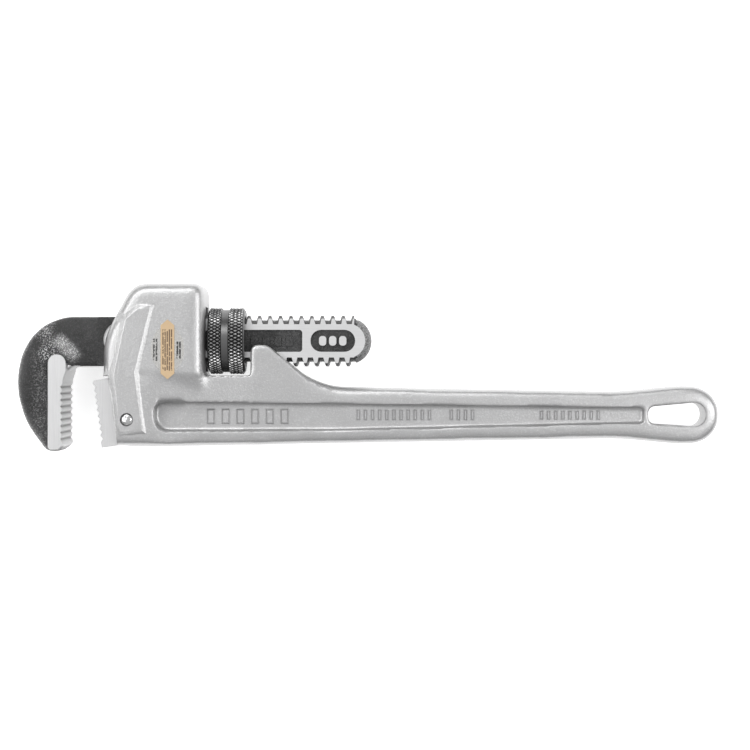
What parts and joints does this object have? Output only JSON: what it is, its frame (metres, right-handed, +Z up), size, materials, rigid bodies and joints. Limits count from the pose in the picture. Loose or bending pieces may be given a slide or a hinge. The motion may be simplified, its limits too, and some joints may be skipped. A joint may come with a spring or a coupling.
{
  "type": "pipe wrench",
  "caption": "Straight pipe wrench with an I-beam handle, threaded hook jaw, knurled adjusting nut and pinned heel jaw.",
  "frame": {"origin": "middle of the wrench's box at the level of the surface it lies on", "axes": "+X from the jaws to the end of the handle, +Y from the handle to the top of the housing, +Z up through the wrench's thickness"},
  "size_m": [0.3062, 0.073, 0.036],
  "materials": {
    "cast_aluminium": "satin cast surface, fine blasted grain",
    "forged_steel": "dark forged scale, semi-gloss, with pale milled flats",
    "machined_steel": "pale milled faces with fine tool marks",
    "polished_steel": "polished",
    "blackened_steel": "black oxide, bright on the knurl's points",
    "spring_steel": "tempered, dull grey",
    "label_paper": "matte sticker under a clear film"
  },
  "bodies": {
    "handle": {"handle": "cast_aluminium", "heel_jaw": "machined_steel", "heel_jaw_pin": "polished_steel", "label": "label_paper"},
    "spring_pack": {"flat_spring": "spring_steel", "coil_spring": "spring_steel", "spring_rivet": "spring_steel"},
    "hook_jaw": {"hook_jaw": "forged_steel"},
    "adjusting_nut": {"adjusting_nut": "blackened_steel"}
  },
  "joints": [
    {"name": "jaw_rock", "type": "hinge", "parent": "handle", "child": "spring_pack", "pos_m": [-0.06152, 0.0116, 0.018], "axis": [0, 0, 1], "range_deg": [-2, 2], "stiffness_Nm_per_rad": 8},
    {"name": "jaw_slide", "type": "slide", "parent": "spring_pack", "child": "hook_jaw", "axis": [1, 0, 0], "range_m": [-0.0456, 0.011]},
    {"name": "nut_spin", "type": "hinge", "parent": "spring_pack", "child": "adjusting_nut", "pos_m": [-0.06152, 0.0116, 0.018], "axis": [1, 0, 0], "continuous": true}
  ],
  "couplings": [
    {"joint": "nut_spin", "follows": "jaw_slide", "rad_per_m": -1365.9}
  ]
}
